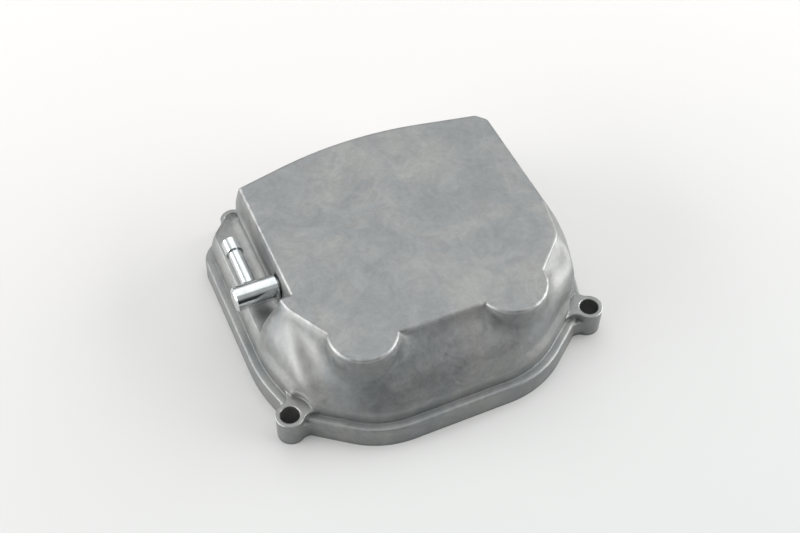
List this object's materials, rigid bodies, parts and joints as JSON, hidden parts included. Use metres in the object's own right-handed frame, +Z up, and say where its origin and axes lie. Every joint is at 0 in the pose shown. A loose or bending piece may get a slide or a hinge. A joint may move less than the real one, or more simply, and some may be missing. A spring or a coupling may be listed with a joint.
{
  "type": "die cast housing",
  "caption": "Domed die cast aluminium housing with a flat lobed top, a bolted flange, an open underside and a side breather elbow.",
  "frame": {"origin": "centre of the four bolt holes, on the gasket face", "axes": "+Z up from the gasket face, towards the flat top; -X towards the breather elbow"},
  "size_m": [0.162, 0.1514, 0.0445],
  "materials": {
    "casting": "as cast, mottled grey",
    "zinc_plated_steel": "bright zinc plate"
  },
  "bodies": {
    "root": {"housing": "casting", "breather_elbow": "zinc_plated_steel"}
  },
  "joints": []
}
